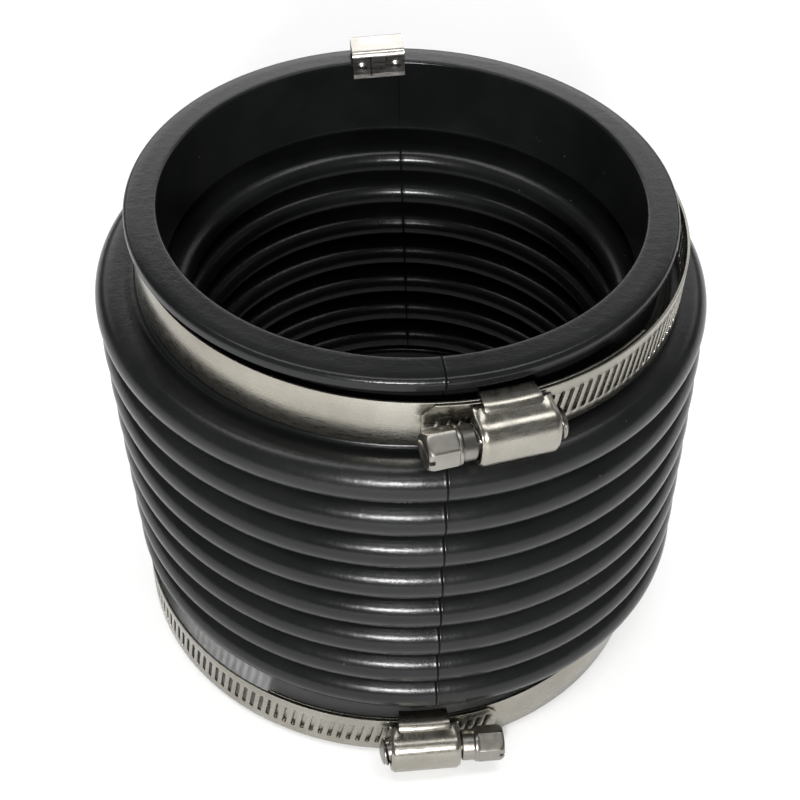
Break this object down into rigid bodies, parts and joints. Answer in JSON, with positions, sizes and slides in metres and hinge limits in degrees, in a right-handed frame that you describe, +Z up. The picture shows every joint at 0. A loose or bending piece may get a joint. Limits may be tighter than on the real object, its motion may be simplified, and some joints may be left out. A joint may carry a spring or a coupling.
{
  "type": "pipe coupling",
  "caption": "Flexible rubber bellows coupling with ringed outer folds, plain cuffs, worm-drive hose clamps lying loose on each cuff and small spring steel rim clips.",
  "frame": {"origin": "bottom centre of the whole object's box; the lower cuff's own axis is 2.1 mm along +X and 4.8 mm along +Y from it", "axes": "+Z up, out of the upper rim; -Y is the side of the two clamp screws"},
  "size_m": [0.1564, 0.1632, 0.13],
  "materials": {
    "rubber": "moulded black rubber, satin on the folds and matter on the rims",
    "band_steel": "rolled stainless strip, satin",
    "screw_steel": "machined and tumbled stainless steel",
    "clip_steel": "bright rolled spring steel"
  },
  "bodies": {
    "lower_end": {"lower_cuff": "rubber", "convolution_1": "rubber"},
    "fold_1": {"fold_1": "rubber"},
    "convolution_2": {"convolution_2": "rubber"},
    "fold_2": {"fold_2": "rubber"},
    "convolution_3": {"convolution_3": "rubber"},
    "fold_3": {"fold_3": "rubber"},
    "convolution_4": {"convolution_4": "rubber"},
    "fold_4": {"fold_4": "rubber"},
    "convolution_5": {"convolution_5": "rubber"},
    "fold_5": {"fold_5": "rubber"},
    "convolution_6": {"convolution_6": "rubber"},
    "fold_6": {"fold_6": "rubber"},
    "convolution_7": {"convolution_7": "rubber"},
    "fold_7": {"fold_7": "rubber"},
    "upper_end": {"convolution_8": "rubber", "upper_cuff": "rubber"},
    "upper_clamp": {"upper_clamp_band": "band_steel", "upper_clamp_housing": "band_steel", "upper_clamp_saddle": "band_steel"},
    "upper_clamp_screw": {"upper_clamp_screw": "screw_steel"},
    "upper_clamp_slotted_band": {"upper_clamp_slotted_band": "band_steel"},
    "lower_clamp": {"lower_clamp_band": "band_steel", "lower_clamp_housing": "band_steel", "lower_clamp_saddle": "band_steel"},
    "lower_clamp_screw": {"lower_clamp_screw": "screw_steel"},
    "lower_clamp_slotted_band": {"lower_clamp_slotted_band": "band_steel"},
    "upper_continuity_clip": {"upper_continuity_clip": "clip_steel"},
    "lower_continuity_clip": {"lower_continuity_clip": "clip_steel"}
  },
  "joints": [
    {"name": "stretch_1", "type": "slide", "parent": "lower_end", "child": "fold_1", "axis": [0, 0, 1], "range_m": [0, 0.004], "stiffness_N_per_m": 1500},
    {"name": "bend_1", "type": "hinge", "parent": "fold_1", "child": "convolution_2", "pos_m": [0.07789, 0.0048, 0.02817], "axis": [0, 1, 0], "range_deg": [0, 3], "stiffness_Nm_per_rad": 10},
    {"name": "stretch_2", "type": "slide", "parent": "convolution_2", "child": "fold_2", "axis": [0, 0, 1], "range_m": [0, 0.004], "stiffness_N_per_m": 1500},
    {"name": "bend_2", "type": "hinge", "parent": "fold_2", "child": "convolution_3", "pos_m": [0.07749, 0.0048, 0.03939], "axis": [0, 1, 0], "range_deg": [0, 3], "stiffness_Nm_per_rad": 10},
    {"name": "stretch_3", "type": "slide", "parent": "convolution_3", "child": "fold_3", "axis": [0, 0, 1], "range_m": [0, 0.004], "stiffness_N_per_m": 1500},
    {"name": "bend_3", "type": "hinge", "parent": "fold_3", "child": "convolution_4", "pos_m": [0.07708, 0.0048, 0.05061], "axis": [0, 1, 0], "range_deg": [0, 3], "stiffness_Nm_per_rad": 10},
    {"name": "stretch_4", "type": "slide", "parent": "convolution_4", "child": "fold_4", "axis": [0, 0, 1], "range_m": [0, 0.004], "stiffness_N_per_m": 1500},
    {"name": "bend_4", "type": "hinge", "parent": "fold_4", "child": "convolution_5", "pos_m": [0.07668, 0.0048, 0.06183], "axis": [0, 1, 0], "range_deg": [0, 3], "stiffness_Nm_per_rad": 10},
    {"name": "stretch_5", "type": "slide", "parent": "convolution_5", "child": "fold_5", "axis": [0, 0, 1], "range_m": [0, 0.004], "stiffness_N_per_m": 1500},
    {"name": "bend_5", "type": "hinge", "parent": "fold_5", "child": "convolution_6", "pos_m": [0.07628, 0.0048, 0.07305], "axis": [0, 1, 0], "range_deg": [0, 3], "stiffness_Nm_per_rad": 10},
    {"name": "stretch_6", "type": "slide", "parent": "convolution_6", "child": "fold_6", "axis": [0, 0, 1], "range_m": [0, 0.004], "stiffness_N_per_m": 1500},
    {"name": "bend_6", "type": "hinge", "parent": "fold_6", "child": "convolution_7", "pos_m": [0.07587, 0.0048, 0.08427], "axis": [0, 1, 0], "range_deg": [0, 3], "stiffness_Nm_per_rad": 10},
    {"name": "stretch_7", "type": "slide", "parent": "convolution_7", "child": "fold_7", "axis": [0, 0, 1], "range_m": [0, 0.004], "stiffness_N_per_m": 1500},
    {"name": "bend_7", "type": "hinge", "parent": "fold_7", "child": "upper_end", "pos_m": [0.07547, 0.0048, 0.09549], "axis": [0, 1, 0], "range_deg": [0, 3], "stiffness_Nm_per_rad": 10},
    {"name": "upper_clamp_turn", "type": "hinge", "parent": "upper_end", "child": "upper_clamp", "pos_m": [-0.0002, 0.0038, 0.1141], "axis": [0.012, 0.008, 0.9999], "range_deg": [-30, 30]},
    {"name": "upper_screw_turn", "type": "hinge", "parent": "upper_clamp", "child": "upper_clamp_screw", "pos_m": [0.02366, -0.06434, 0.11436], "axis": [0.9437, 0.3304, -0.014], "range_deg": [-760, 2200]},
    {"name": "upper_band_travel", "type": "hinge", "parent": "upper_clamp", "child": "upper_clamp_slotted_band", "pos_m": [-0.0002, 0.0038, 0.1141], "axis": [0.012, 0.008, 0.9999], "range_deg": [-12.4, 4.2]},
    {"name": "lower_clamp_turn", "type": "hinge", "parent": "lower_end", "child": "lower_clamp", "pos_m": [-0.00145, -0.0006, 0.00702], "axis": [0, 0.0085, 1], "range_deg": [-45, 45]},
    {"name": "lower_screw_turn", "type": "hinge", "parent": "lower_clamp", "child": "lower_clamp_screw", "pos_m": [0.00829, -0.07557, 0.00766], "axis": [-0.9917, -0.1288, 0.0011], "range_deg": [-760, 2200]},
    {"name": "lower_band_travel", "type": "hinge", "parent": "lower_clamp", "child": "lower_clamp_slotted_band", "pos_m": [-0.00145, -0.0006, 0.00702], "axis": [0, -0.0085, -1], "range_deg": [-12.4, 4.2]},
    {"name": "upper_clip_slide", "type": "slide", "parent": "upper_end", "child": "upper_continuity_clip", "axis": [0, 0, 1], "range_m": [0, 0.02]},
    {"name": "lower_clip_slide", "type": "slide", "parent": "lower_end", "child": "lower_continuity_clip", "axis": [0, 0, -1], "range_m": [0, 0.02]}
  ],
  "couplings": [
    {"joint": "stretch_2", "follows": "stretch_1", "ratio": 1},
    {"joint": "bend_2", "follows": "bend_1", "ratio": 1},
    {"joint": "stretch_3", "follows": "stretch_1", "ratio": 1},
    {"joint": "bend_3", "follows": "bend_1", "ratio": 1},
    {"joint": "stretch_4", "follows": "stretch_1", "ratio": 1},
    {"joint": "bend_4", "follows": "bend_1", "ratio": 1},
    {"joint": "stretch_5", "follows": "stretch_1", "ratio": 1},
    {"joint": "bend_5", "follows": "bend_1", "ratio": 1},
    {"joint": "stretch_6", "follows": "stretch_1", "ratio": 1},
    {"joint": "bend_6", "follows": "bend_1", "ratio": 1},
    {"joint": "stretch_7", "follows": "stretch_1", "ratio": 1},
    {"joint": "bend_7", "follows": "bend_1", "ratio": 1},
    {"joint": "upper_screw_turn", "follows": "upper_band_travel", "ratio": -167.87},
    {"joint": "lower_screw_turn", "follows": "lower_band_travel", "ratio": -176.28}
  ]
}
